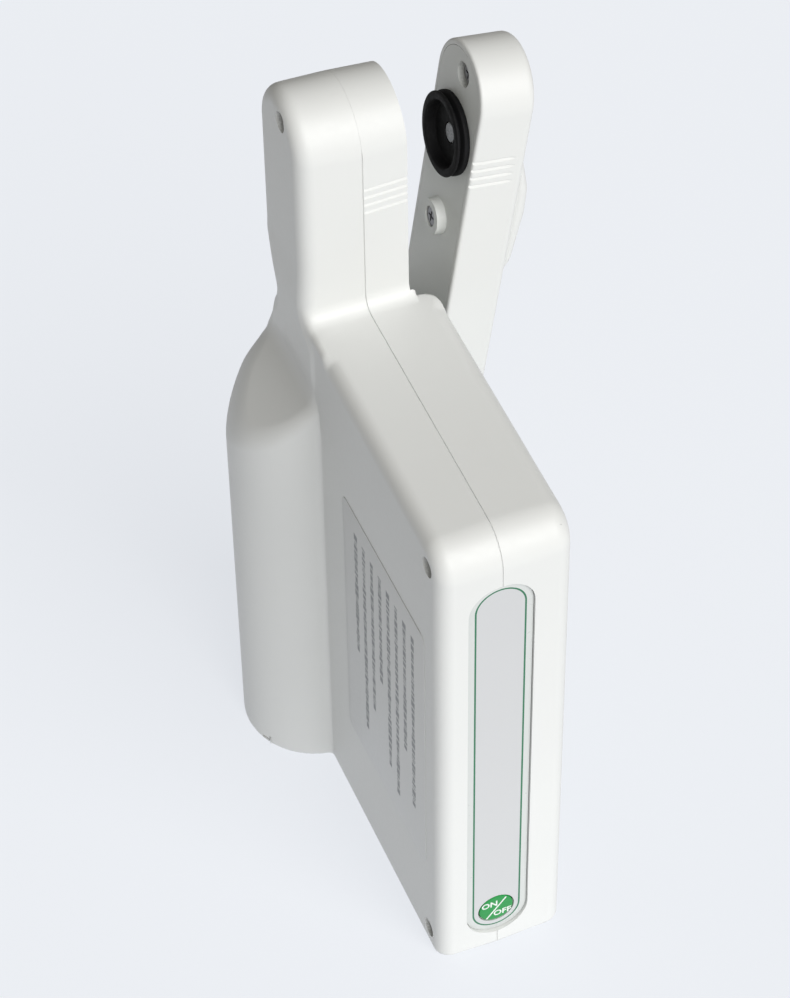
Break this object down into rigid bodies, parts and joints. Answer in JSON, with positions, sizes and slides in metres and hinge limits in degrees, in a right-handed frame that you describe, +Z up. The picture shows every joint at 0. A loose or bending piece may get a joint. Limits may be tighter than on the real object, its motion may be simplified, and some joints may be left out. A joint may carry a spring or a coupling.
{
  "type": "chlorophyll meter",
  "caption": "Hand-held clip-type leaf chlorophyll meter: flat white case with a round battery grip, a fixed measuring arm and a sprung clamp arm with a rubber light seal.",
  "frame": {"origin": "on the flat base the meter stands on, in the mould seam plane X=0, 43.5 mm behind the narrow front side", "axes": "+Z up along the meter, +X from the battery grip side to the display side, +Y from the strip side to the measuring arms"},
  "size_m": [0.0598, 0.0868, 0.164],
  "materials": {
    "housing_white": "fine satin moulding",
    "strip_grey": "smooth printed film",
    "key_green": "printed membrane key",
    "label_silver": "matt silver label film",
    "rubber_black": "soft moulded rubber",
    "screw_steel": "zinc plated",
    "spring_steel": "spring wire",
    "contact_nickel": "nickel plated sheet",
    "board_green": "circuit board",
    "chip_black": "moulded package",
    "display_grey": "reflective display",
    "clear_window": "clear window",
    "overlay_film": "printed polyester film",
    "key_rubber": "moulded keypad rubber",
    "cell_sleeve": "sleeved battery cell",
    "lamp_clear": "clear lamp body",
    "ribbon_amber": "polyimide ribbon"
  },
  "bodies": {
    "housing": {"back_shell": "housing_white", "front_shell": "housing_white", "housing_screws": "screw_steel", "board_screws": "screw_steel", "data_label": "label_silver", "side_strip": "strip_grey", "side_board": "board_green", "power_switch": "chip_black", "aa_cells": "cell_sleeve", "contact_carrier": "chip_black", "battery_springs": "spring_steel", "main_board": "board_green", "board_chips": "chip_black", "lcd_module": "display_grey", "lcd_window": "clear_window", "front_overlay": "overlay_film", "key_switches": "chip_black", "receiver_window": "clear_window", "photodiode": "chip_black", "receiver_board": "board_green", "trigger_switch": "chip_black", "hinge_pin": "screw_steel", "return_spring": "spring_steel"},
    "clamp_arm": {"arm_shell": "housing_white", "arm_cover": "housing_white", "stop_boss": "housing_white", "arm_screws": "screw_steel", "rubber_eyecup": "rubber_black", "emitter_window": "clear_window", "emitter_leds": "lamp_clear", "emitter_board": "board_green", "arm_ribbon": "ribbon_amber", "thumb_pad": "housing_white"},
    "door": {"battery_door": "housing_white", "door_contact": "contact_nickel"},
    "power_button": {"power_key": "key_green"},
    "up_button": {"key_up": "key_rubber"},
    "down_button": {"key_down": "key_rubber"},
    "back_button": {"key_back": "key_rubber"},
    "enter_button": {"key_enter": "key_rubber"},
    "trigger": {"trigger_plunger": "housing_white"}
  },
  "joints": [
    {"name": "arm_hinge", "type": "hinge", "parent": "housing", "child": "clamp_arm", "pos_m": [0.0065, 0.0293, 0.073], "axis": [0, 1, 0], "range_deg": [-7.9, 0], "stiffness_Nm_per_rad": 0.4, "springref_deg": 14.32},
    {"name": "door_slide", "type": "slide", "parent": "housing", "child": "door", "axis": [0, 1, 0], "range_m": [0, 0.03]},
    {"name": "power_press", "type": "slide", "parent": "housing", "child": "power_button", "axis": [0, 1, 0], "range_m": [0, 0.0005], "stiffness_N_per_m": 1500, "springref_m": -0.0005},
    {"name": "trigger_press", "type": "slide", "parent": "housing", "child": "trigger", "axis": [-1, 0, 0], "range_m": [0, 0.0008], "stiffness_N_per_m": 600, "springref_m": -0.0008},
    {"name": "up_press", "type": "slide", "parent": "housing", "child": "up_button", "axis": [-1, 0, 0], "range_m": [0, 0.0005], "stiffness_N_per_m": 1500, "springref_m": -0.0005},
    {"name": "down_press", "type": "slide", "parent": "housing", "child": "down_button", "axis": [-1, 0, 0], "range_m": [0, 0.0005], "stiffness_N_per_m": 1500, "springref_m": -0.0005},
    {"name": "back_press", "type": "slide", "parent": "housing", "child": "back_button", "axis": [-1, 0, 0], "range_m": [0, 0.0005], "stiffness_N_per_m": 1500, "springref_m": -0.0005},
    {"name": "enter_press", "type": "slide", "parent": "housing", "child": "enter_button", "axis": [-1, 0, 0], "range_m": [0, 0.0005], "stiffness_N_per_m": 1500, "springref_m": -0.0005}
  ]
}
